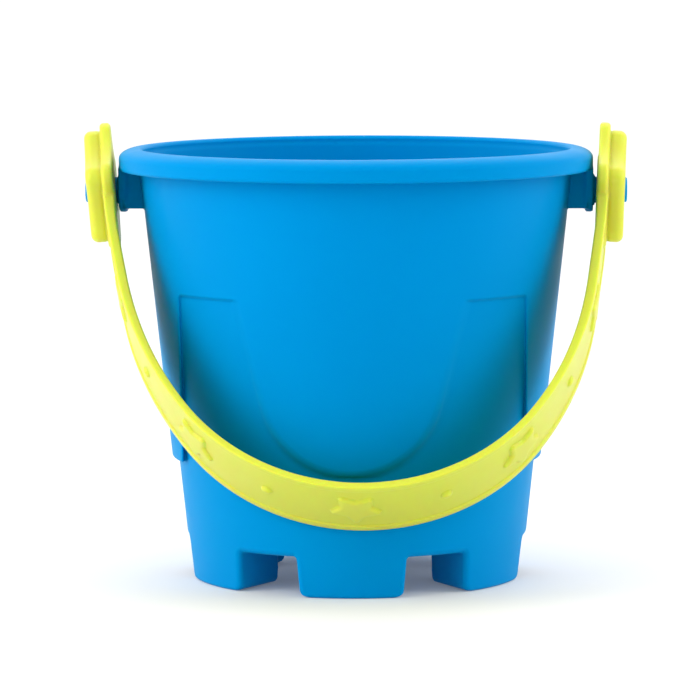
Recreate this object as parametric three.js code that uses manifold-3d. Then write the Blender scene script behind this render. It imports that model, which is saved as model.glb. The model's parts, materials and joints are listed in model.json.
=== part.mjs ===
// A child's sand bucket: one thin-walled moulding that stands on six castle-shaped feet,
// and one moulded strap handle whose star-shaped ends turn on two pins under the rim.
// Millimetres. +Z is up, the bucket stands on Z = 0, and the handle's pins lie along X.
// The handle hangs forward, towards -Y, with its strap against the front wall, so the middle of
// the object, where the origin is, lies a little in front of the bucket's axis.
import * as THREE from "three";
import { mergeVertices } from "three/addons/utils/BufferGeometryUtils.js";
import Module from "manifold-3d";

const wasm = await Module();
wasm.setup();

// ---- Driving dimensions: the bucket ----
const height = 146; // floor to the top of the rim
const wall = 2;
const draft = 6.1; // degrees, the lean of every round wall
const skirtRadius = 56.3; // outside of the feet at the floor
const shellStep = 2.2; // how far the upper shell stands out from the skirt
const shellFoot = 41; // height of the upper shell's lower edge
const around = 72; // flats round the bucket

const rim = {
  radius: 80.4,
  ridgeRadius: 74, // the highest line of the rim
  crown: 3.4, // how far the rim falls from its ridge to its side
  thickness: 2.2,
  bandBottom: 138.6,
  flare: 2.6, // height of the rounded inner edge
};

// The four recessed panels, seen from the front: a tongue of the upper shell between two of them.
const panel = {
  top: 98.7,
  edge: 57.4, // distance of the outer edge from the middle
  rise: 1.1, // how much shallower the recess is at its top than at its foot
  tongueRadius: 30,
  tongueCentre: 72.2,
  tongueLean: 14.5, // degrees, the lean of the tongue's straight sides
};

const feet = {
  count: 6,
  height: 13.5,
  slotWidth: 21.4,
  slotDraft: 2, // degrees
  innerRadius: 34.5,
};

const lug = {
  face: 80.4,
  thickness: 2.6,
  radius: 7.5,
  webHalfWidth: 6.5,
  webBottom: 125.5,
  shoulderRadius: 5.3,
  shoulderFace: 81,
};

const pin = { height: 131.5, radius: 4.35, tip: 91.95, crown: 0.8 };

const setBack = 2.1; // the bucket's axis behind the origin, half of what the strap stands out past the rim

// ---- Driving dimensions: the handle ----
const strap = {
  hang: 36.2, // degrees forward from straight down
  reach: 123.3, // pin axis to the outside of the strap's lowest point
  width: 29.3,
  bottomThickness: 2.4,
  armThickness: 3.2,
  webInset: 0.5, // how far the face lies below its two border beads
  beadWidth: 3,
  bottomRadius: 72.4,
  sideRadius: 119.1,
  sideStart: 36.5, // degrees, the lean of the strap where the two radii meet
  armLean: 9.7, // degrees
  armLength: 19.7,
  bendRadius: 140,
  arcSteps: 7,
  sway: 3.95, // how far the soft strap hangs to one side at the bottom
  tilt: 1.3, // degrees, how far its two ends lean over with it on their pins
};

const hub = {
  lean: 4.1, // degrees
  plateThickness: 3.7,
  plateReach: 26.2, // centre to the sharp point that each rounded point is cut from
  plateRound: 8,
  bossThickness: 5.6,
  bossReach: 23,
  bossRound: 7,
  valley: 0.62, // the valleys' distance from the centre, as a share of the points'
  clearance: 0.35, // between pin and bore
};

const relief = {
  spacing: 30.5, // along the strap
  shift: -1.9, // where the middle star sits, from the strap's lowest point
  height: 1.1,
  starReach: 10,
  starRound: 2.6,
  starValley: 0.56,
  dotRadius: 1.9,
  eachSide: 4, // raised shapes on either side of the middle one
};

const overshoot = 1; // how far a cutter or a root reaches past the face it crosses
const overlap = 0.1; // how far two joined blocks run into each other
const weldDistance = 1e-4; // corners nearer than this are one corner

// ---- Helpers ----
const radians = THREE.MathUtils.degToRad;
const slope = Math.tan(radians(draft));

function toSolid(geometry) {
  const bare = new THREE.BufferGeometry();
  const flat = geometry.index ? geometry.toNonIndexed() : geometry;
  bare.setAttribute("position", flat.getAttribute("position"));
  const merged = mergeVertices(bare, weldDistance);
  const corners = merged.index.array;
  const triangles = [];
  for (let i = 0; i < corners.length; i += 3) {
    const [a, b, c] = [corners[i], corners[i + 1], corners[i + 2]];
    if (a !== b && b !== c && c !== a) {
      triangles.push(a, b, c);
    }
  }
  return new wasm.Manifold(
    new wasm.Mesh({
      numProp: 3,
      vertProperties: merged.attributes.position.array,
      triVerts: new Uint32Array(triangles),
    }),
  );
}

function toGeometry(solid) {
  const mesh = solid.getMesh();
  const geometry = new THREE.BufferGeometry();
  geometry.setAttribute("position", new THREE.BufferAttribute(mesh.vertProperties, 3));
  geometry.setIndex(new THREE.BufferAttribute(mesh.triVerts, 1));
  const faceted = geometry.toNonIndexed();
  faceted.computeVertexNormals();
  return faceted;
}

// A solid turned about Z from [radius, height] points that start and end on the axis.
function turned(profile, segments = around) {
  const points = profile.map(([radius, z]) => new THREE.Vector2(radius, z));
  return toSolid(new THREE.LatheGeometry(points, segments).rotateX(Math.PI / 2));
}

// Points of a quarter ellipse in a profile, without its first point.
function quarter(centre, radii, from, to, steps) {
  return Array.from({ length: steps }, (_, i) => {
    const angle = radians(from + ((to - from) * (i + 1)) / steps);
    return [centre[0] + radii[0] * Math.cos(angle), centre[1] + radii[1] * Math.sin(angle)];
  });
}

function box(low, high) {
  const size = high.map((value, i) => value - low[i]);
  const middle = high.map((value, i) => (value + low[i]) / 2);
  return toSolid(new THREE.BoxGeometry(...size).translate(...middle));
}

function extruded(shape, depth, curveSegments = 6) {
  return new THREE.ExtrudeGeometry(shape, { depth, curveSegments, bevelEnabled: false });
}

// A round bar along +X.
function roundBar(radius, from, to, segments = 32) {
  const bar = new THREE.CylinderGeometry(radius, radius, to - from, segments);
  return toSolid(bar.rotateZ(-Math.PI / 2).translate((from + to) / 2, 0, 0));
}

function joined(solids) {
  return solids.reduce((sum, solid) => sum.add(solid));
}

// A polygon whose corners are rounded: corners are [x, y, length cut from each side].
function roundedPolygon(corners) {
  const shape = new THREE.Shape();
  corners.forEach(([x, y, cut], i) => {
    const corner = new THREE.Vector2(x, y);
    const [before, after] = [corners.at(i - 1), corners[(i + 1) % corners.length]].map(
      ([nextX, nextY]) => new THREE.Vector2(nextX, nextY).sub(corner).setLength(cut).add(corner),
    );
    if (i === 0) {
      shape.moveTo(before.x, before.y);
    } else {
      shape.lineTo(before.x, before.y);
    }
    shape.quadraticCurveTo(x, y, after.x, after.y);
  });
  shape.closePath();
  return shape;
}

// A five-pointed star with rounded points, one of them straight down.
function star(reach, valley, round) {
  const corners = Array.from({ length: 10 }, (_, i) => {
    const angle = radians(36 * i - 90);
    const radius = i % 2 === 0 ? reach : reach * valley;
    return [radius * Math.cos(angle), radius * Math.sin(angle), round];
  });
  return roundedPolygon(corners);
}

// ---- The bucket ----
const skirtAt = (z) => skirtRadius + slope * z;
const shellAt = (z) => skirtAt(z) + shellStep;

// The upper shell's outside, a solid cone that carries the rim.
function shellOutside() {
  const underRim = height - rim.thickness;
  const sideTop = height - rim.crown;
  const bandInside = rim.radius - rim.thickness;
  return turned([
    [0, shellFoot],
    [shellAt(shellFoot), shellFoot],
    [shellAt(underRim), underRim],
    [bandInside, underRim],
    [bandInside, rim.bandBottom],
    [rim.radius, rim.bandBottom],
    [rim.radius, sideTop],
    ...quarter([rim.ridgeRadius, sideTop], [rim.radius - rim.ridgeRadius, rim.crown], 0, 90, 5),
    [0, height],
  ]);
}

// The space inside the upper shell, flared into the rim's ridge.
function shellInside() {
  const floor = shellFoot + wall;
  const flareStart = height - rim.flare;
  const flareWidth = rim.ridgeRadius - (shellAt(flareStart) - wall);
  return turned([
    [0, floor],
    [shellAt(floor) - wall, floor],
    [shellAt(flareStart) - wall, flareStart],
    ...quarter([rim.ridgeRadius, flareStart], [flareWidth, rim.flare], 180, 90, 4),
    [rim.ridgeRadius, height + overshoot],
    [0, height + overshoot],
  ]);
}

// What the front and back panels take from the shell: a slab with the tongue left standing.
function panelCutter(inset) {
  const lean = radians(panel.tongueLean);
  const radius = panel.tongueRadius - inset;
  const top = panel.top + inset;
  const tongueTop = top + overshoot;
  const tangentX = radius * Math.cos(lean);
  const tangentZ = panel.tongueCentre - radius * Math.sin(lean);
  const topX = tangentX + (tongueTop - tangentZ) * Math.tan(lean);
  const tongue = new THREE.Shape();
  tongue.moveTo(topX, tongueTop);
  tongue.lineTo(-topX, tongueTop);
  tongue.absarc(0, panel.tongueCentre, radius, Math.PI + lean, -lean, false);
  tongue.closePath();
  const depth = 2 * rim.radius;
  const tonguePrism = extruded(tongue, depth, 8).rotateX(Math.PI / 2).translate(0, depth / 2, 0);
  const edge = panel.edge + inset;
  const reach = depth / 2 - overshoot;
  const slab = box([-edge, -reach, shellFoot - overshoot], [edge, reach, top]);
  return slab.subtract(toSolid(tonguePrism));
}

// The three straight channels and the round hollow that leave six feet standing.
function feetCutter(inset) {
  const top = feet.height + inset;
  const bottom = -overshoot;
  const half = feet.slotWidth / 2 + inset;
  const spread = (top - bottom) * Math.tan(radians(feet.slotDraft));
  const channel = new THREE.Shape();
  channel.moveTo(-half, top);
  channel.lineTo(-half - spread, bottom);
  channel.lineTo(half + spread, bottom);
  channel.lineTo(half, top);
  channel.closePath();
  const length = 2 * rim.radius;
  const cutters = [];
  for (let i = 0; i < feet.count / 2; i += 1) {
    const geometry = extruded(channel, length).translate(0, 0, -length / 2).rotateX(Math.PI / 2);
    cutters.push(toSolid(geometry.rotateZ(radians(30 + 60 * i))));
  }
  const hollow = feet.innerRadius + inset;
  cutters.push(
    turned([
      [0, bottom],
      [hollow, bottom],
      [hollow, top],
      [0, top],
    ]),
  );
  return joined(cutters);
}

// The bucket's outside with inset 0, and the space inside it with inset equal to the wall.
function moulding(shell, inset) {
  const skirtTop = panel.top + inset + overshoot;
  const skirt = turned([
    [0, inset],
    [skirtAt(inset) - inset, inset],
    [skirtAt(shellFoot) - inset, shellFoot],
    [skirtAt(skirtTop) + panel.rise - inset, skirtTop],
    [0, skirtTop],
  ]);
  return shell.subtract(panelCutter(inset)).add(skirt).subtract(feetCutter(inset));
}

// A hollow lug under the rim on the +X side, open below, with its shoulder and pin.
function pinLug() {
  const { face, thickness, webHalfWidth, webBottom } = lug;
  const inside = face - thickness;
  const underRim = height - rim.thickness;
  const start = skirtRadius - overshoot; // well inside the bucket's wall, where the hollow cuts it
  const [webEnd, webTop] = [inside + overlap, underRim + overshoot];
  const web = box([start, -webHalfWidth, webBottom], [webEnd, webHalfWidth, webTop]);
  const core = webHalfWidth - wall;
  const pocket = box([start - overshoot, -core, webBottom - overshoot], [inside, core, underRim]);
  const plate = new THREE.Shape();
  const plateTop = rim.bandBottom + overshoot - pin.height;
  plate.moveTo(lug.radius, plateTop);
  plate.lineTo(-lug.radius, plateTop);
  plate.absarc(0, 0, lug.radius, Math.PI, 2 * Math.PI, false);
  plate.closePath();
  const upright = new THREE.Matrix4().makeBasis(
    new THREE.Vector3(0, 1, 0),
    new THREE.Vector3(0, 0, 1),
    new THREE.Vector3(1, 0, 0),
  );
  upright.setPosition(inside, 0, pin.height);
  const plateSolid = toSolid(extruded(plate, thickness, 8).applyMatrix4(upright));
  const root = face - overshoot;
  const shoulder = roundBar(lug.shoulderRadius, root, lug.shoulderFace);
  const shaft = [
    [0, root],
    [pin.radius, root],
    [pin.radius, pin.tip - pin.crown],
    ...quarter([pin.radius - pin.crown, pin.tip - pin.crown], [pin.crown, pin.crown], 0, 90, 3),
    [0, pin.tip],
  ];
  const points = shaft.map(([radius, x]) => new THREE.Vector2(radius, x));
  const pinGeometry = new THREE.LatheGeometry(points, 32).rotateZ(-Math.PI / 2);
  const round = shoulder.add(toSolid(pinGeometry)).translate([0, 0, pin.height]);
  return web.subtract(pocket).add(plateSolid).add(round);
}

function bucket() {
  const right = pinLug();
  const outside = moulding(shellOutside(), 0).add(right).add(right.rotate([0, 0, 180]));
  return outside.subtract(moulding(shellInside(), wall));
}

// ---- The handle, straight down from its pin axis along -Z ----
const [bottomLean, armLean, hubLean] = [strap.sideStart, strap.armLean, hub.lean].map(radians);
const along = (centre, radius, lean) => [
  centre[0] + radius * Math.cos(lean),
  centre[1] - radius * Math.sin(lean),
];
const bottomCentre = [0, strap.bottomRadius - strap.reach];
const sideCentre = along(bottomCentre, strap.bottomRadius - strap.sideRadius, bottomLean);
const armFoot = along(sideCentre, strap.sideRadius, armLean);
const armTop = [
  armFoot[0] + strap.armLength * Math.sin(armLean),
  armFoot[1] + strap.armLength * Math.cos(armLean),
];
const bendCentre = along(armTop, -strap.bendRadius, armLean);
const bendTop = along(bendCentre, strap.bendRadius, hubLean);
const hubFace = bendTop[0] - bendTop[1] * Math.tan(hubLean); // outside of the plate at the pin

// The strap's thickness, which grows up its sides and on to the plate.
function thicknessAt(lean) {
  const { bottomThickness, armThickness } = strap;
  if (lean < armLean) {
    return THREE.MathUtils.mapLinear(lean, armLean, hubLean, armThickness, hub.plateThickness);
  }
  const share = THREE.MathUtils.smoothstep(bottomLean - lean, 0, bottomLean - armLean);
  return THREE.MathUtils.lerp(bottomThickness, armThickness, share);
}

// Half of the strap's outline at some depth below its outside, from the +X end to the bottom.
function halfOutline(depthAt) {
  const arcs = [
    [bendCentre, strap.bendRadius, hubLean, armLean],
    [sideCentre, strap.sideRadius, armLean, bottomLean],
    [bottomCentre, strap.bottomRadius, bottomLean, Math.PI / 2],
  ];
  const points = [[hubFace - depthAt(hubLean) / Math.cos(hubLean), 0]];
  for (const [centre, radius, from, to] of arcs) {
    const first = centre === bottomCentre ? 1 : 0; // it starts where the side's arc ends
    for (let step = first; step <= strap.arcSteps; step += 1) {
      const lean = from + ((to - from) * step) / strap.arcSteps;
      points.push(along(centre, radius - depthAt(lean), lean));
    }
  }
  return points;
}

// One layer of the U-shaped strap, from a depth below its outside to its inside.
function strapLayer(fromDepth, width, shift) {
  const outside = halfOutline(() => fromDepth);
  const inside = halfOutline(thicknessAt);
  const mirrored = (points) => points.slice(0, -1).map(([x, z]) => [-x, z]);
  const outline = [
    ...outside,
    ...mirrored(outside).toReversed(),
    ...mirrored(inside),
    ...inside.toReversed(),
  ];
  const shape = new THREE.Shape(outline.map(([x, z]) => new THREE.Vector2(x, z)));
  const geometry = extruded(shape, width).rotateX(Math.PI / 2);
  return toSolid(geometry.translate(0, shift + width / 2, 0));
}

// Places a shape's front on the strap's or plate's outside: its own +Y points up the strap.
function standOn(x, z, lean) {
  const matrix = new THREE.Matrix4().makeBasis(
    new THREE.Vector3(0, 1, 0),
    new THREE.Vector3(Math.sin(lean), 0, Math.cos(lean)),
    new THREE.Vector3(Math.cos(lean), 0, -Math.sin(lean)),
  );
  return matrix.setPosition(x, 0, z);
}

// The star plate and the thicker star boss on it, at the +X end.
function starEnd() {
  const { plateThickness, bossThickness } = hub;
  const plate = extruded(star(hub.plateReach, hub.valley, hub.plateRound), plateThickness, 3);
  const bossDepth = bossThickness + overshoot;
  const boss = extruded(star(hub.bossReach, hub.valley, hub.bossRound), bossDepth, 3);
  const place = standOn(hubFace, 0, hubLean);
  return toSolid(plate.translate(0, 0, -plateThickness).applyMatrix4(place)).add(
    toSolid(boss.translate(0, 0, -overshoot).applyMatrix4(place)),
  );
}

// A raised star or dot on the strap's face, at a distance along it from its lowest point.
// Each star points across the strap, towards its rear edge.
function raised(distance, isStar) {
  const side = distance < 0 ? -1 : 1;
  const length = Math.abs(distance);
  const bottomHalf = strap.bottomRadius * (Math.PI / 2 - bottomLean);
  const onBottom = length <= bottomHalf;
  const centre = onBottom ? bottomCentre : sideCentre;
  const radius = onBottom ? strap.bottomRadius : strap.sideRadius;
  const lean = onBottom
    ? Math.PI / 2 - length / radius
    : bottomLean - (length - bottomHalf) / radius;
  const [x, z] = along(centre, radius - strap.webInset, lean);
  const depth = relief.height + overshoot;
  const shape = isStar
    ? extruded(star(relief.starReach, relief.starValley, relief.starRound), depth, 1)
    : new THREE.CylinderGeometry(relief.dotRadius, relief.dotRadius, depth, 12)
        .rotateX(Math.PI / 2)
        .translate(0, 0, depth / 2);
  const place = standOn(side * x, z, side > 0 ? lean : Math.PI - lean);
  return toSolid(shape.rotateZ(Math.PI / 2).translate(0, 0, -overshoot).applyMatrix4(place));
}

// How far the handle hangs to one side, at a depth below its pin axis.
function swayAt(depth) {
  const leant = depth * Math.tan(radians(strap.tilt));
  const share = Math.max(depth / strap.reach, 0);
  return leant * (1 - share) ** 2 + strap.sway * share ** 2 * (3 - 2 * share);
}

function swayed(geometry) {
  const position = geometry.getAttribute("position");
  for (let i = 0; i < position.count; i += 1) {
    position.setX(i, position.getX(i) + swayAt(-position.getZ(i)));
  }
  geometry.computeVertexNormals();
  return geometry;
}

function handle() {
  const beadShift = (strap.width - strap.beadWidth) / 2;
  const right = starEnd();
  const pieces = [
    strapLayer(strap.webInset, strap.width, 0),
    strapLayer(0, strap.beadWidth, beadShift),
    strapLayer(0, strap.beadWidth, -beadShift),
    right,
    right.rotate([0, 0, 180]),
  ];
  for (let place = -relief.eachSide; place <= relief.eachSide; place += 1) {
    pieces.push(raised(place * relief.spacing + relief.shift, place % 2 === 0));
  }
  const boreEnd = 2 * rim.radius;
  const bore = roundBar(pin.radius + hub.clearance, -boreEnd, boreEnd);
  return joined(pieces).subtract(bore);
}

// ---- The object ----
const bluePlastic = new THREE.MeshStandardMaterial({ color: 0x0a97dc, roughness: 0.42, metalness: 0 });
const limePlastic = new THREE.MeshStandardMaterial({ color: 0xc6d632, roughness: 0.35, metalness: 0 });

const bucketMesh = new THREE.Mesh(toGeometry(bucket()), bluePlastic);
bucketMesh.name = "bucket";

const handleMesh = new THREE.Mesh(swayed(toGeometry(handle())), limePlastic);
handleMesh.name = "handle";
const hinge = new THREE.Group();
hinge.position.z = pin.height;
hinge.rotation.x = -radians(strap.hang);
hinge.add(handleMesh);

const sandBucket = new THREE.Group();
sandBucket.add(bucketMesh, hinge);
sandBucket.position.y = setBack;

export default sandBucket;
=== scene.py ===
"""A child's sand bucket: a blue moulded bucket and a lime strap handle that swings on two pins.

Both mouldings are described as distance fields in millimetres and turned into fine meshes, so every
edge has the soft fillet of a moulded part. The meshes, the lights and the camera are in metres.
"""

import json
import math

import bpy
import numpy as np
from mathutils import Matrix, Vector


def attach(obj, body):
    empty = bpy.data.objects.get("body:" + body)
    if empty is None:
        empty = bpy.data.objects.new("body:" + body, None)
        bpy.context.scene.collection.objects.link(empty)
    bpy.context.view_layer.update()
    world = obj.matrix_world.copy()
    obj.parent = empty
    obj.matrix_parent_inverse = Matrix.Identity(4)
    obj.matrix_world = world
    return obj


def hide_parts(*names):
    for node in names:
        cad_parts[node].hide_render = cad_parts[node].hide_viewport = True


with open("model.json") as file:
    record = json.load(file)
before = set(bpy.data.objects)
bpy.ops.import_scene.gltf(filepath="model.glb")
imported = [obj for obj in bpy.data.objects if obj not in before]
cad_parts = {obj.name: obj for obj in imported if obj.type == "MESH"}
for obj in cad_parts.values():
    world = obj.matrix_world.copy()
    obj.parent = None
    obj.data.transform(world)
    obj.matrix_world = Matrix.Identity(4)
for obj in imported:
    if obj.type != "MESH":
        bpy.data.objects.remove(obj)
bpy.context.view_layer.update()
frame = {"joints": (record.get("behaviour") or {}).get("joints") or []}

MM = 0.001

# ---- Driving dimensions in millimetres and degrees ----
# Most are the CAD part's. The tongue's bevel, the slots' flare and the stars' points are finer.
HEIGHT = 146
WALL = 2
DRAFT = 6.1
SKIRT_RADIUS = 56.3
SHELL_STEP = 2.2
SHELL_FOOT = 41

RIM = {"radius": 80.4, "ridge": 74, "crown": 3.4, "thickness": 2.2, "band_bottom": 138.6}
PANEL = {"top": 98.7, "edge": 57.4, "rise": 1.1}
TONGUE = {"radius": 30, "centre": 72.2, "lean": 14.5, "bevel": 45}
FEET = {"height": 13.5, "slot_width": 21.4, "slot_draft": 2, "inner_radius": 34.5, "flare": 2.5}
LUG = {
    "face": 80.4,
    "thickness": 2.6,
    "radius": 7.5,
    "web_half": 6.5,
    "web_bottom": 125.5,
    "web_start": 60,
    "web_lap": 0.2,
}
SHOULDER = {"radius": 5.3, "face": 81}
PIN = {"height": 131.5, "radius": 4.35, "tip": 91.95, "crown": 0.8, "start": 78}
INTO_RIM = 0.4  # how far the wall and the lug webs run into the rim's flange

STRAP = {
    "hang": 36.2,
    "reach": 123.3,
    "width": 29.3,
    "bottom_thickness": 2.4,
    "arm_thickness": 3.2,
    "web_inset": 0.5,
    "web_margin": 0.6,
    "bead": 3,
    "bottom_radius": 72.4,
    "side_radius": 119.1,
    "side_start": 36.5,
    "arm_lean": 9.7,
    "arm_length": 19.7,
    "bend_radius": 140,
    "sway": 3.95,
    "tilt": 1.3,
    "top": 4,
}
# In a star, reach is the distance from the centre to the sharp point that the tip radius rounds off,
# valley is the distance to the sharp valley as a share of it, and dip is that valley's radius.
HUB = {
    "lean": 4.1,
    "valley": 0.62,
    "plate": 3.7,
    "plate_reach": 25.95,
    "plate_tip": 4.7,
    "plate_dip": 24,
    "boss": 5.6,
    "boss_reach": 23,
    "boss_tip": 4.1,
    "boss_dip": 21,
}
BORE_RADIUS = PIN["radius"] + 0.35
RELIEF = {
    "spacing": 30.5,
    "shift": -1.9,
    "each_side": 4,
    "height": 1.1,
    "star_reach": 10,
    "star_tip": 1.3,
    "star_dip": 1.5,
    "valley": 0.56,
    "dot_radius": 1.9,
    "flank": 0.7,
}
SUNK = 1  # how far the bosses, the marks and the lugs' plates run into what they are joined to

# Fillet radii of the bucket and of the handle.
SOFT = {
    "lip": 1.8,
    "band": 1.0,
    "band_inside": 1.0,
    "rim": 1.2,
    "panel": 1.0,
    "panel_corner": 0.8,
    "tongue_corner": 0.6,
    "inner": 0.7,
    "foot_step": 0.8,
    "foot": 1.1,
    "slot": 2.2,
    "slot_ceiling": 1.0,
    "lug": 0.5,
    "lug_pocket": 0.3,
    "lug_web": 1.5,
    "shoulder": 0.3,
}
SOFT_HANDLE = {
    "strap": 0.5,
    "plate": 1.3,
    "boss": 2.5,
    "boss_foot": 0.6,
    "plate_foot": 0.8,
    "mark": 1.1,
    "mark_foot": 0.3,
    "bore": 0.4,
}

slope = math.tan(math.radians(DRAFT))
draft_cos = math.cos(math.radians(DRAFT))
pivot = Vector(frame["joints"][0]["pos_m"])  # on the pins' axis, over the bucket's own axis


# ---- Distance field helpers: negative inside, positive outside ----
def round_max(a, b, radius):
    """Where both solids are, with a rounded outer edge."""
    reach = np.hypot(np.maximum(a + radius, 0), np.maximum(b + radius, 0))
    return np.minimum(np.maximum(a, b), -radius) + reach


def round_min(a, b, radius):
    """Both solids joined, with a filled inner corner."""
    return -round_max(-a, -b, radius)


def slab(value, low, high):
    """Between two parallel planes."""
    return np.maximum(low - value, value - high)


def star(u, v, reach, valley, tip_radius, valley_radius):
    """A five-pointed star with one point towards -v, its tips and valleys rounded by arcs."""
    fifth = 2 * math.pi / 5
    angle = np.arctan2(u, -v)
    angle = np.abs((angle + fifth / 2) % fifth - fifth / 2)
    radius = np.hypot(u, v)
    out, side = radius * np.cos(angle), radius * np.sin(angle)
    axis = (math.cos(fifth / 2), math.sin(fifth / 2))
    root = (reach * valley * axis[0], reach * valley * axis[1])
    length = math.hypot(reach - root[0], root[1])
    edge = ((reach - root[0]) / length, -root[1] / length)
    flank = (reach - out) * edge[1] + side * edge[0]
    tip = reach + tip_radius / edge[1]
    tip_turn = (out - tip) * edge[0] + side * edge[1] > 0
    dip = valley_radius / (axis[1] * edge[0] - axis[0] * edge[1])
    dip_centre = (root[0] + dip * axis[0], root[1] + dip * axis[1])
    from_dip = (out - dip_centre[0], side - dip_centre[1])
    dip_turn = from_dip[0] * edge[0] + from_dip[1] * edge[1] < 0
    outline = np.where(tip_turn, np.hypot(out - tip, side) - tip_radius, flank)
    return np.where(dip_turn & ~tip_turn, valley_radius - np.hypot(*from_dip), outline)


# ---- The bucket ----
def panel_field(x, z, shell):
    """Inside the front and back panels: a rectangle with the tongue left standing, on sloping sides."""
    lean = math.radians(TONGUE["lean"])
    rise = z - TONGUE["centre"]
    beside = x * math.cos(lean) - rise * math.sin(lean)
    above = x * math.sin(lean) + rise * math.cos(lean)
    bevel = math.radians(TONGUE["bevel"])
    tongue = np.where(above > 0, beside, np.hypot(x, rise)) - TONGUE["radius"]
    tongue = tongue * math.cos(bevel) + shell * math.sin(bevel)
    block = round_max(x - PANEL["edge"], z - PANEL["top"], SOFT["panel_corner"])
    return round_max(block, -tongue, SOFT["tongue_corner"])


def feet_gaps(x, y, z, radius):
    """The three straight channels and the round hollow between the feet."""
    half = FEET["slot_width"] / 2 + (FEET["height"] - z) * math.tan(math.radians(FEET["slot_draft"]))
    low = np.clip(FEET["flare"] - z, 0, FEET["flare"])
    half = half + FEET["flare"] - np.sqrt(FEET["flare"] ** 2 - low**2)
    gap = radius - FEET["inner_radius"]
    for turn in (0, 60, 120):
        angle = math.radians(turn)
        across = np.abs(y * math.cos(angle) - x * math.sin(angle)) - half
        gap = np.minimum(gap, across)
    return round_max(gap, z - FEET["height"], SOFT["slot_ceiling"])


def wall_outside(x, y, z, radius):
    """The tapered body with its panels and feet, going up without end."""
    skirt = (radius - SKIRT_RADIUS - slope * z) * draft_cos
    shell = skirt - SHELL_STEP * draft_cos
    shell = round_max(shell, -panel_field(np.abs(x), z, shell), SOFT["panel"])
    shell = round_max(shell, SHELL_FOOT - z, SOFT["foot_step"])
    skirt = skirt - PANEL["rise"] * np.clip((z - SHELL_FOOT) / (PANEL["top"] - SHELL_FOOT), 0, 1)
    body = round_min(shell, skirt, SOFT["inner"])
    body = round_max(body, -feet_gaps(x, y, z, radius), SOFT["slot"])
    return round_max(body, -z, SOFT["foot"])


def rim_field(radius, z):
    """The rolled rim: an elliptic crown, a flange under it and a band that turns down."""
    side_top = HEIGHT - RIM["crown"]
    width = RIM["radius"] - RIM["ridge"]
    out = np.maximum(radius - RIM["ridge"], 0) / width
    up = np.maximum(z - side_top, 0) / RIM["crown"]
    share = np.hypot(out, up)
    fall = np.maximum(np.hypot(out / width, up / RIM["crown"]), 1e-6)
    curved = (share - 1) * share / fall
    straight = np.maximum(radius - RIM["radius"], z - HEIGHT)
    crown = np.where((out > 0) & (up > 0), curved, straight)
    inside, below = radius - RIM["radius"] + RIM["thickness"], z - HEIGHT + RIM["thickness"]
    under = round_max(inside, below, SOFT["band_inside"])
    return round_max(np.maximum(crown, -under), RIM["band_bottom"] - z, SOFT["band"])


def lug_field(x, y, z):
    """The hollow lug, its rounded face plate, the shoulder and the pin, on both sides."""
    out, side = np.abs(x), np.abs(y)
    inside = LUG["face"] - LUG["thickness"]
    flange = HEIGHT - RIM["thickness"]
    cap = flange + INTO_RIM
    web = np.maximum(side - LUG["web_half"], slab(out, LUG["web_start"], inside + LUG["web_lap"]))
    web = round_max(web, slab(z, LUG["web_bottom"], cap), SOFT["lug"])
    pocket = np.maximum(side - LUG["web_half"] + WALL, np.maximum(out - inside, z - flange))
    web = round_max(web, -pocket, SOFT["lug_pocket"])
    level = z - PIN["height"]
    centred = np.hypot(y, level)
    outline = np.where(level > 0, side, centred) - LUG["radius"]
    outline = np.maximum(outline, z - RIM["band_bottom"] - SUNK)
    plate = round_max(outline, slab(out, inside, LUG["face"]), SOFT["lug"])
    shoulder = slab(out, PIN["start"], SHOULDER["face"])
    shoulder = round_max(centred - SHOULDER["radius"], shoulder, SOFT["shoulder"])
    pin = round_max(centred - PIN["radius"], slab(out, PIN["start"], PIN["tip"]), PIN["crown"])
    lug = round_min(web, plate, SOFT["lug_web"])
    return np.minimum(round_min(lug, shoulder, SOFT["shoulder"]), pin)


def bucket_field(x, y, z):
    """The whole moulding: wall, rim, lugs and pins, hollowed to an even wall."""
    radius = np.hypot(x, y)
    body = wall_outside(x, y, z, radius)
    hollow = body + WALL
    capped = np.maximum(body, z - HEIGHT + RIM["thickness"] - INTO_RIM)
    outside = round_min(capped, rim_field(radius, z), SOFT["rim"])
    outside = round_min(outside, lug_field(x, y, z), SOFT["lug"])
    return round_max(outside, -hollow, SOFT["lip"])


# ---- The handle, hanging straight down from its pin axis ----
def along(centre, radius, lean):
    """The point of an arc whose outside leans that much from upright."""
    return (centre[0] + radius * math.cos(lean), centre[1] - radius * math.sin(lean))


bottom_lean = math.radians(STRAP["side_start"])
arm_lean = math.radians(STRAP["arm_lean"])
hub_lean = math.radians(HUB["lean"])
bottom_centre = (0, STRAP["bottom_radius"] - STRAP["reach"])
side_centre = along(bottom_centre, STRAP["bottom_radius"] - STRAP["side_radius"], bottom_lean)
arm_foot = along(side_centre, STRAP["side_radius"], arm_lean)
arm_top = (
    arm_foot[0] + STRAP["arm_length"] * math.sin(arm_lean),
    arm_foot[1] + STRAP["arm_length"] * math.cos(arm_lean),
)
bend_centre = along(arm_top, -STRAP["bend_radius"], arm_lean)
bend_top = along(bend_centre, STRAP["bend_radius"], hub_lean)
hub_face = bend_top[0] - bend_top[1] * math.tan(hub_lean)


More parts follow.
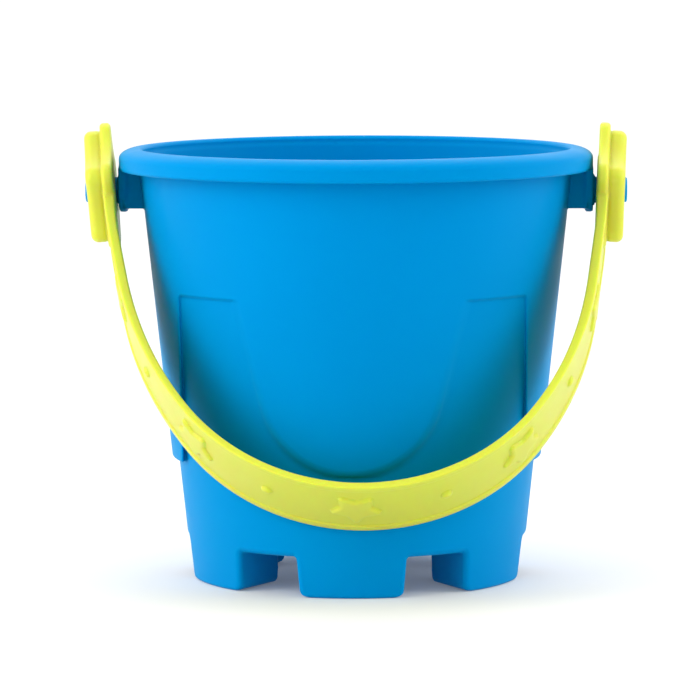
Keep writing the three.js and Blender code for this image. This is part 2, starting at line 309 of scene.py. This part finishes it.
def strap_place(x, z):
    """(height above the strap's outside, distance along it from its lowest point, thickness)."""

    def arc(centre, radius):
        lean = np.arctan2(centre[1] - z, x - centre[0])
        return np.hypot(x - centre[0], z - centre[1]) - radius, lean

    def line(start, lean):
        dx, dz = x - start[0], z - start[1]
        height = dx * math.cos(lean) - dz * math.sin(lean)
        return height, dx * math.sin(lean) + dz * math.cos(lean)

    bottom, bottom_at = arc(bottom_centre, STRAP["bottom_radius"])
    side, side_at = arc(side_centre, STRAP["side_radius"])
    arm, arm_at = line(arm_foot, arm_lean)
    bend, bend_at = arc(bend_centre, STRAP["bend_radius"])
    hub, hub_at = line(bend_top, hub_lean)
    bottom_end = STRAP["bottom_radius"] * (math.pi / 2 - bottom_lean)
    side_end = bottom_end + STRAP["side_radius"] * (bottom_lean - arm_lean)
    arm_end = side_end + STRAP["arm_length"]
    bend_end = arm_end + STRAP["bend_radius"] * (arm_lean - hub_lean)
    zones = [
        bottom_at >= bottom_lean,
        side_at >= arm_lean,
        arm_at < STRAP["arm_length"],
        bend_at >= hub_lean,
    ]
    grown = np.clip((bottom_lean - side_at) / (bottom_lean - arm_lean), 0, 1)
    swell = (STRAP["arm_thickness"] - STRAP["bottom_thickness"]) * grown * grown * (3 - 2 * grown)
    last = np.where(zones[2], 0, np.clip((arm_lean - bend_at) / (arm_lean - hub_lean), 0, 1))
    on_arm = STRAP["arm_thickness"] + (HUB["plate"] - STRAP["arm_thickness"]) * last
    depth = np.select(zones[:2], [STRAP["bottom_thickness"], STRAP["bottom_thickness"] + swell], on_arm)
    heights = [bottom, side, arm, bend]
    lengths = [
        STRAP["bottom_radius"] * (math.pi / 2 - bottom_at),
        bottom_end + STRAP["side_radius"] * (bottom_lean - side_at),
        side_end + arm_at,
        arm_end + STRAP["bend_radius"] * (arm_lean - bend_at),
    ]
    return np.select(zones, heights, hub), np.select(zones, lengths, bend_end + hub_at), depth


def strap_field(height, depth, y, z):
    """The strap: a web between two rounded beads."""
    side = np.abs(y)
    half = STRAP["width"] / 2
    web = slab(height, -depth, -STRAP["web_inset"])
    web = round_max(side - half + STRAP["web_margin"], web, SOFT_HANDLE["strap"])
    bead = slab(side, half - STRAP["bead"], half)
    bead = round_max(bead, slab(height, -depth, 0), SOFT_HANDLE["strap"])
    return np.maximum(round_min(web, bead, SOFT_HANDLE["strap"]), z - STRAP["top"])


def star_end_field(x, y, z):
    """The star plate and the thicker star boss that stands on it."""
    up = (x - hub_face) * math.sin(hub_lean) + z * math.cos(hub_lean)
    height = (x - hub_face) * math.cos(hub_lean) - z * math.sin(hub_lean)
    plate = star(y, up, HUB["plate_reach"], HUB["valley"], HUB["plate_tip"], HUB["plate_dip"])
    boss = star(y, up, HUB["boss_reach"], HUB["valley"], HUB["boss_tip"], HUB["boss_dip"])
    plate = round_max(plate, slab(height, -HUB["plate"], 0), SOFT_HANDLE["plate"])
    boss = round_max(boss, slab(height, -SUNK, HUB["boss"]), SOFT_HANDLE["boss"])
    return round_min(plate, boss, SOFT_HANDLE["boss_foot"])


def relief_field(height, along_strap, y):
    """The raised stars and dots, which follow the strap's curve and take turns along it."""
    above = height + STRAP["web_inset"]
    from_middle = along_strap - RELIEF["shift"]
    most = RELIEF["each_side"]
    place = np.clip(np.rint(from_middle / RELIEF["spacing"]), -most, most)
    from_mark = from_middle - place * RELIEF["spacing"]
    tip, dip = RELIEF["star_tip"], RELIEF["star_dip"]
    star_outline = star(from_mark, -y, RELIEF["star_reach"], RELIEF["valley"], tip, dip)
    dot_outline = np.hypot(from_mark, y) - RELIEF["dot_radius"]
    outline = np.where(place % 2 == 0, star_outline, dot_outline) * RELIEF["flank"]
    return round_max(outline, slab(above, -SUNK, RELIEF["height"]), SOFT_HANDLE["mark"])


def handle_field(x, y, z):
    """The whole moulding, swayed to one side, with its two bores."""
    share = np.maximum(-z / STRAP["reach"], 0)
    lean = -z * math.tan(math.radians(STRAP["tilt"])) * (1 - share) ** 2
    level = x - lean - STRAP["sway"] * share * share * (3 - 2 * share)
    out = np.abs(level)
    height, length, depth = strap_place(out, z)
    relief = relief_field(height, np.copysign(length, level), y)
    body = round_min(strap_field(height, depth, y, z), relief, SOFT_HANDLE["mark_foot"])
    body = round_min(body, star_end_field(out, y, z), SOFT_HANDLE["plate_foot"])
    bore = np.hypot(y, z) - BORE_RADIUS
    return round_max(body, -bore, SOFT_HANDLE["bore"])


# ---- From a distance field to a mesh ----
LAYERS_AT_ONCE = 16
LEAST_SQUARED_SLOPE = 0.04  # keeps a point from jumping where the field is nearly flat
TRIANGLES = 190_000  # in each moulding; the export thins out a piece of more than 200,000


def sampled(field, low, high, step):
    """The field at every point of a grid, as an array with axes z, y, x."""
    axes = [np.arange(a, b + step, step, dtype=np.float32) for a, b in zip(low, high)]
    x, y = axes[0][None, None, :], axes[1][None, :, None]
    layers = []
    for start in range(0, len(axes[2]), LAYERS_AT_ONCE):
        z = axes[2][start : start + LAYERS_AT_ONCE, None, None]
        layer = field(x, y, z).astype(np.float32)
        layers.append(np.broadcast_to(layer, (z.shape[0], len(axes[1]), len(axes[0]))))
    return np.concatenate(layers)


def net(values, low, step):
    """Surface net: one point in each cell that the surface passes through, and its quads."""
    inside = values < 0
    size = [n - 1 for n in values.shape]
    corners = [(a, b, c) for a in (0, 1) for b in (0, 1) for c in (0, 1)]
    count = np.zeros(size, np.uint8)
    for a, b, c in corners:
        count += inside[a : a + size[0], b : b + size[1], c : c + size[2]]
    cells = np.argwhere((count > 0) & (count < 8))
    number = np.full(size, -1, np.int32)
    number[tuple(cells.T)] = np.arange(len(cells))
    total = np.zeros((len(cells), 3))
    crossings = np.zeros(len(cells))
    for first in corners:
        for axis in range(3):
            if first[axis] == 1:
                continue
            second = tuple(first[i] + (1 if i == axis else 0) for i in range(3))
            a = values[tuple((cells + first).T)].astype(float)
            b = values[tuple((cells + second).T)].astype(float)
            cut = (a < 0) != (b < 0)
            share = np.where(cut, a / np.where(cut, a - b, 1), 0)
            place = np.array(first) + share[:, None] * (np.array(second) - np.array(first))
            total += np.where(cut[:, None], place, 0)
            crossings += cut
    points = (cells + total / crossings[:, None])[:, ::-1] * step + np.array(low)
    faces = []
    for axis in range(3):
        ahead = [slice(None)] * 3
        behind = [slice(None)] * 3
        ahead[axis], behind[axis] = slice(1, None), slice(None, -1)
        here, there = inside[tuple(behind)], inside[tuple(ahead)]
        edges = np.argwhere(here != there)
        one, two = [i for i in range(3) if i != axis]
        ring = []
        for shift_one, shift_two in ((0, 0), (1, 0), (1, 1), (0, 1)):
            cell = edges.copy()
            cell[:, one] -= shift_one
            cell[:, two] -= shift_two
            ring.append(number[tuple(cell.T)])
        quads = np.stack(ring, 1)
        turn = here[tuple(edges.T)] != (axis == 1)
        quads[turn] = quads[turn, ::-1]
        faces.append(quads)
    return points, np.concatenate(faces)


def slopes(field, points, reach=0.04):
    """The field at some points and its gradient."""
    gradient = np.empty_like(points)
    for axis in range(3):
        step = np.zeros(3)
        step[axis] = reach
        after = field(*(points + step).T)
        before = field(*(points - step).T)
        gradient[:, axis] = (after - before) / (2 * reach)
    return field(*points.T), gradient


def settled(field, points, most, rounds=3):
    """The points moved onto the surface itself."""
    for _ in range(rounds):
        value, gradient = slopes(field, points)
        length = np.maximum((gradient**2).sum(1), LEAST_SQUARED_SLOPE)
        move = -(value / length)[:, None] * gradient
        size = np.linalg.norm(move, axis=1, keepdims=True)
        points = points + move * np.minimum(1, most / np.maximum(size, 1e-9))
    return points


def relaxed(points, faces):
    """The points moved halfway towards the middle of their neighbours."""
    starts = faces.ravel()
    ends = np.roll(faces, -1, axis=1).ravel()
    near = np.bincount(starts, minlength=len(points))
    middle = np.stack([np.bincount(starts, points[ends, i], len(points)) for i in range(3)], 1)
    return points + 0.5 * (middle / near[:, None] - points)


def moulded(name, field, low, high, step, place):
    """A closed mesh object of the field, thinned out and placed in the row frame."""
    points, faces = net(sampled(field, low, high, step), low, step)
    points = settled(field, points, step)
    for _ in range(2):
        points = settled(field, relaxed(points, faces), step, 1)
    mesh = bpy.data.meshes.new(name)
    mesh.from_pydata(points * MM, [], faces)
    piece = bpy.data.objects.new(name, mesh)
    bpy.context.scene.collection.objects.link(piece)
    thin = piece.modifiers.new("thin", "DECIMATE")
    thin.ratio = min(1, TRIANGLES / (2 * len(faces)))
    bpy.context.view_layer.update()
    shown = piece.evaluated_get(bpy.context.evaluated_depsgraph_get())
    piece.data = bpy.data.meshes.new_from_object(shown)
    piece.modifiers.clear()
    bpy.data.meshes.remove(mesh)
    mesh = piece.data
    mesh.name = name
    mesh.materials.clear()
    flat = np.empty(3 * len(mesh.vertices))
    mesh.vertices.foreach_get("co", flat)
    points = settled(field, flat.reshape(-1, 3) / MM, step / 2, 2)
    _, normals = slopes(field, points)
    normals /= np.linalg.norm(normals, axis=1, keepdims=True)
    turn = np.array(place.to_3x3())
    points = points @ turn.T * MM + np.array(place.translation)
    mesh.vertices.foreach_set("co", points.ravel())
    mesh.update()
    mesh.shade_smooth()
    mesh.normals_split_custom_set_from_vertices((normals @ turn.T).tolist())
    return piece


bucket = moulded(
    "bucket_moulding",
    bucket_field,
    low=(-93, -82, -1.3),
    high=(93, 82, 147.5),
    step=0.7,
    place=Matrix.Translation((0, pivot.y, 0)),
)
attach(bucket, "bucket")
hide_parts("bucket")

hung = Matrix.Translation(pivot) @ Matrix.Rotation(-math.radians(STRAP["hang"]), 4, "X")
handle = moulded(
    "handle_moulding",
    handle_field,
    low=(-94, -26.5, -125),
    high=(94, 26.5, 25.5),
    step=0.45,
    place=hung,
)
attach(handle, "handle")
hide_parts("handle")


# ---- Materials ----
CLOUDS, PATCHES, PORES = 22, 55, 2600  # noise scales, in waves a metre
NOISE_LOW, NOISE_HIGH = 0.3, 0.7  # most of a noise's values lie between these
PORE_DEPTH, PORE_STRENGTH = 0.00004, 0.12
GLOW_DEPTH = 0.004
PLASTIC_IOR = 1.49


def surface(name):
    """A new material and its shader."""
    material = bpy.data.materials.new(name)
    material.use_nodes = True
    return material, material.node_tree.nodes["Principled BSDF"]


def plastic(name, colour, deep, roughness, gloss, tint, subsurface, glow):
    """Satin moulded plastic: flow clouds in the colour, duller patches and fine pores."""
    material, shader = surface(name)
    nodes, links = material.node_tree.nodes, material.node_tree.links
    where = nodes.new("ShaderNodeTexCoord").outputs["Object"]

    def noise(scale, detail, rough=0.5):
        node = nodes.new("ShaderNodeTexNoise")
        node.inputs["Scale"].default_value = scale
        node.inputs["Detail"].default_value = detail
        node.inputs["Roughness"].default_value = rough
        links.new(where, node.inputs["Vector"])
        return node.outputs["Fac"]

    def spread(value, low, high):
        node = nodes.new("ShaderNodeMapRange")
        node.inputs["From Min"].default_value = NOISE_LOW
        node.inputs["From Max"].default_value = NOISE_HIGH
        node.inputs["To Min"].default_value = low
        node.inputs["To Max"].default_value = high
        links.new(value, node.inputs["Value"])
        return node.outputs["Result"]

    mix = nodes.new("ShaderNodeMix")
    mix.data_type = "RGBA"
    mix.inputs["A"].default_value = (*colour, 1)
    mix.inputs["B"].default_value = (*deep, 1)
    links.new(spread(noise(CLOUDS, 3), 0.0, 0.5), mix.inputs["Factor"])
    links.new(mix.outputs["Result"], shader.inputs["Base Color"])
    dullness = spread(noise(PATCHES, 4, 0.6), roughness - 0.04, roughness + 0.05)
    links.new(dullness, shader.inputs["Roughness"])
    grain = nodes.new("ShaderNodeBump")
    grain.inputs["Strength"].default_value = PORE_STRENGTH
    grain.inputs["Distance"].default_value = PORE_DEPTH
    links.new(noise(PORES, 2), grain.inputs["Height"])
    links.new(grain.outputs["Normal"], shader.inputs["Normal"])
    shader.inputs["IOR"].default_value = PLASTIC_IOR
    shader.inputs["Specular IOR Level"].default_value = gloss
    shader.inputs["Specular Tint"].default_value = (*tint, 1)
    shader.inputs["Subsurface Weight"].default_value = subsurface
    shader.inputs["Subsurface Radius"].default_value = glow
    shader.inputs["Subsurface Scale"].default_value = GLOW_DEPTH
    return material


blue = plastic(
    "blue_plastic",
    colour=(0, 0.245, 0.57),
    deep=(0, 0.23, 0.54),
    roughness=0.42,
    gloss=0.03,
    tint=(0, 0.9, 1),
    subsurface=0.25,
    glow=(0.05, 0.6, 1.0),
)
lime = plastic(
    "lime_plastic",
    colour=(0.61, 0.6, 0.05),
    deep=(0.58, 0.58, 0.042),
    roughness=0.38,
    gloss=0.35,
    tint=(1, 1, 1),
    subsurface=0.9,
    glow=(0.7, 1.6, 0.12),
)
bucket.data.materials.append(blue)
handle.data.materials.append(lime)

# ---- Floor, light and camera ----
AIM = Vector((-0.0022, pivot.y, 0.0767))
DISTANCE = 1.439
AZIMUTH, ELEVATION, ROLL = 2.0, 5.98, -0.175
FOCAL, SENSOR = 216.9, 36  # mm
FLOOR_REACH = 60
PAPER = {"colour": 0.72, "roughness": 0.9, "glow": 0.1}
MIDDLE = (0, 0, 0.08)  # what the softboxes aim at
WALL_STRENGTHS = ((0.0, 0.7), (0.25, 0.4), (0.5, 0.0), (0.75, 0.1), (1.0, 0.6))
WALL_GAIN = 1.5
ROOF = {"towards": (0, 0.56, 0.83), "starts": 0.65, "full": 0.95, "strength": 2.1}
HORIZON = {"low": 0.04, "high": 0.14, "strength": 0.85}

floor_mesh = bpy.data.meshes.new("floor")
quarters = ((-1, -1), (1, -1), (1, 1), (-1, 1))
floor_corners = [(x * FLOOR_REACH, y * FLOOR_REACH, 0) for x, y in quarters]
floor_mesh.from_pydata(floor_corners, [], [(0, 1, 2, 3)])
floor = bpy.data.objects.new("floor", floor_mesh)
bpy.context.scene.collection.objects.link(floor)
paper, paper_shader = surface("white_paper")
paper_shader.inputs["Base Color"].default_value = (*[PAPER["colour"]] * 3, 1)
paper_shader.inputs["Roughness"].default_value = PAPER["roughness"]
paper_shader.inputs["Emission Color"].default_value = (1, 1, 1, 1)
paper_shader.inputs["Emission Strength"].default_value = PAPER["glow"]
floor_mesh.materials.append(paper)

world = bpy.data.worlds.new("studio")
world.use_nodes = True
sky = world.node_tree.nodes
sky["Background"].inputs["Color"].default_value = (1, 1, 1, 1)
sky_links = world.node_tree.links
split = sky.new("ShaderNodeSeparateXYZ")
direction = sky.new("ShaderNodeTexCoord").outputs["Generated"]
sky_links.new(direction, split.inputs[0])


def faded(value, from_min, from_max, to_min, to_max):
    """A node that maps one range onto another and stops at its ends."""
    node = sky.new("ShaderNodeMapRange")
    spans = {"From Min": from_min, "From Max": from_max, "To Min": to_min, "To Max": to_max}
    for socket, number in spans.items():
        node.inputs[socket].default_value = number
    sky_links.new(value, node.inputs["Value"])
    return node


# From the left wall, over the dim front and back, to the right wall.
walls = sky.new("ShaderNodeValToRGB")
walls.color_ramp.interpolation = "EASE"
stops = walls.color_ramp.elements
for place, strength in WALL_STRENGTHS:
    edge = stops.new(place) if 0 < place < 1 else stops[int(place)]
    edge.position = place
    edge.color = (strength, strength, strength, 1)
sky_links.new(faded(split.outputs["X"], -1, 1, 0, 1).outputs["Result"], walls.inputs["Fac"])
wall_light = sky.new("ShaderNodeMath")
wall_light.operation = "MULTIPLY"
wall_light.inputs[1].default_value = WALL_GAIN
sky_links.new(walls.outputs["Color"], wall_light.inputs[0])
overhead = sky.new("ShaderNodeVectorMath")
overhead.operation = "DOT_PRODUCT"
overhead.inputs[1].default_value = ROOF["towards"]
sky_links.new(direction, overhead.inputs[0])
roof = faded(overhead.outputs["Value"], ROOF["starts"], ROOF["full"], 0, ROOF["strength"])
sky_links.new(wall_light.outputs[0], roof.inputs["To Min"])
fade = faded(split.outputs["Z"], HORIZON["low"], HORIZON["high"], HORIZON["strength"], 0)
sky_links.new(roof.outputs["Result"], fade.inputs["To Max"])
sky_links.new(fade.outputs["Result"], sky["Background"].inputs["Strength"])
bpy.context.scene.world = world


def softbox(name, place, size, power):
    """A rectangular lamp, in metres and watts, that faces the bucket."""
    light = bpy.data.lights.new(name, "AREA")
    light.shape = "RECTANGLE"
    light.size, light.size_y = size
    light.energy = power
    lamp = bpy.data.objects.new(name, light)
    lamp.location = place
    lamp.rotation_euler = (Vector(MIDDLE) - Vector(place)).to_track_quat("-Z", "Y").to_euler()
    bpy.context.scene.collection.objects.link(lamp)


softbox("key", place=(-0.95, -0.45, 0.5), size=(0.8, 0.9), power=7.2)
softbox("fill", place=(0.95, -0.1, 0.5), size=(0.4, 0.8), power=4)

azimuth, elevation = math.radians(AZIMUTH), math.radians(ELEVATION)
view = Vector(
    (
        math.sin(azimuth) * math.cos(elevation),
        -math.cos(azimuth) * math.cos(elevation),
        math.sin(elevation),
    )
)
camera_data = bpy.data.cameras.new("camera")
camera_data.lens = FOCAL
camera_data.sensor_width = SENSOR
camera = bpy.data.objects.new("camera", camera_data)
camera.location = AIM + DISTANCE * view
level = (-view).to_track_quat("-Z", "Y")
camera.rotation_euler = (level.to_matrix() @ Matrix.Rotation(math.radians(ROLL), 3, "Z")).to_euler()
bpy.context.scene.collection.objects.link(camera)
bpy.context.scene.camera = camera
bpy.context.scene.view_settings.view_transform = "Standard"
